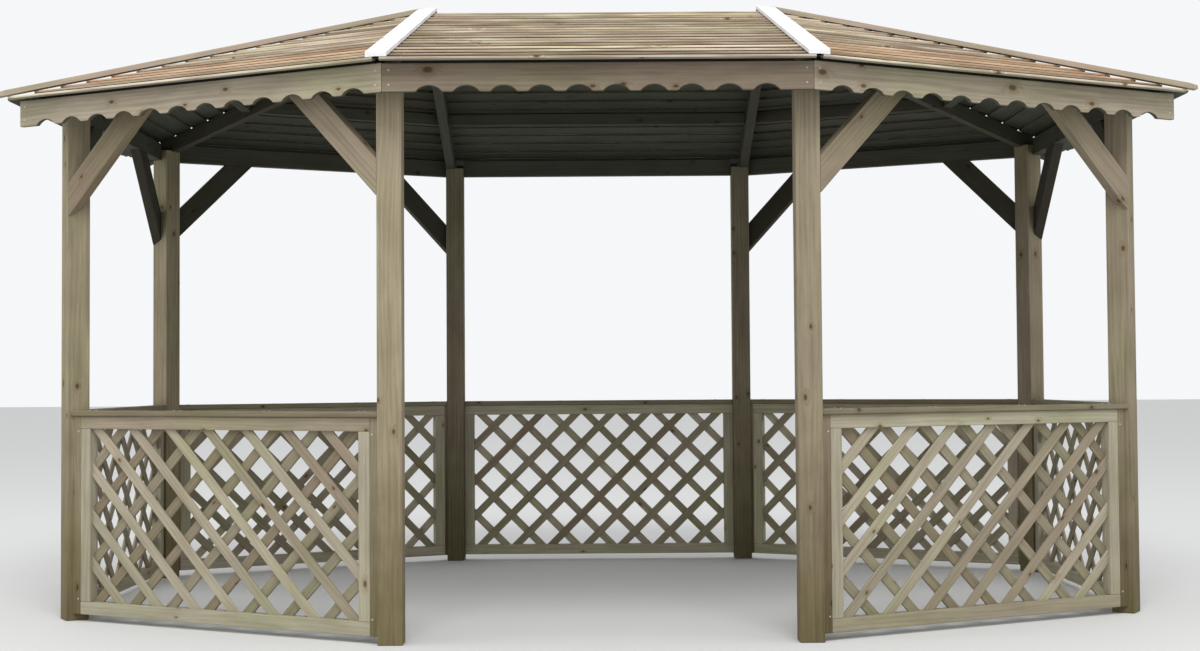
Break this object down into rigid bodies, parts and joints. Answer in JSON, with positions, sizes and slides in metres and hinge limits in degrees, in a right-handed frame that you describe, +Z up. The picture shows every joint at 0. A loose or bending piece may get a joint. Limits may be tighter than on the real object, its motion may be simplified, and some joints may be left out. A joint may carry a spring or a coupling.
{
  "type": "garden gazebo",
  "caption": "Open timber garden gazebo on a stretched octagonal plan: square posts, lattice panels, corner braces, scalloped fascia and a hipped roof of lapped boards.",
  "frame": {"origin": "on the ground at the middle of the plan, midway between the end posts and between the front and rear posts", "axes": "+X along the ridge to the right as seen from the entrance, -Y towards the entrance, +Z up"},
  "size_m": [4.724, 3.302, 2.5994],
  "materials": {
    "post_timber": "pressure-treated softwood, planed, weathered to a greenish straw colour",
    "frame_timber": "pressure-treated softwood, sawn, shaded grey brown",
    "brace_timber": "pressure-treated softwood, planed, grey straw",
    "lattice_timber": "pressure-treated softwood laths, green brown",
    "rail_timber": "pressure-treated softwood, planed, rounded arrises",
    "fascia_timber": "pressure-treated softwood board, planed, with knots",
    "roof_boards": "lapped pressure-treated softwood boards, brown and green streaks",
    "cap_boards": "pale weathered softwood board"
  },
  "bodies": {
    "root": {"post_front_left": "post_timber", "post_front_right": "post_timber", "post_right_front": "post_timber", "post_right_rear": "post_timber", "post_rear_right": "post_timber", "post_rear_left": "post_timber", "post_left_rear": "post_timber", "post_left_front": "post_timber", "ring_plates": "frame_timber", "braces_front": "brace_timber", "braces_ends": "brace_timber", "braces_rear": "brace_timber", "panel_front_left": "lattice_timber", "panel_front_right": "lattice_timber", "panel_right": "lattice_timber", "panel_rear_right": "lattice_timber", "panel_rear": "lattice_timber", "panel_rear_left": "lattice_timber", "panel_left": "lattice_timber", "panel_battens": "post_timber", "cap_rails": "rail_timber", "fascia_front": "fascia_timber", "fascia_front_right": "fascia_timber", "fascia_front_left": "fascia_timber", "hip_rafters_left": "frame_timber", "hip_rafters_right": "frame_timber", "ridge_beam": "frame_timber", "crown_blocks": "frame_timber", "purlins": "frame_timber", "slope_front": "roof_boards", "slope_front_right": "roof_boards", "slope_right": "roof_boards", "slope_rear_right": "roof_boards", "slope_rear": "roof_boards", "slope_rear_left": "roof_boards", "slope_left": "roof_boards", "slope_front_left": "roof_boards", "hip_caps_middle": "cap_boards", "hip_caps_ends": "cap_boards"}
  },
  "joints": []
}
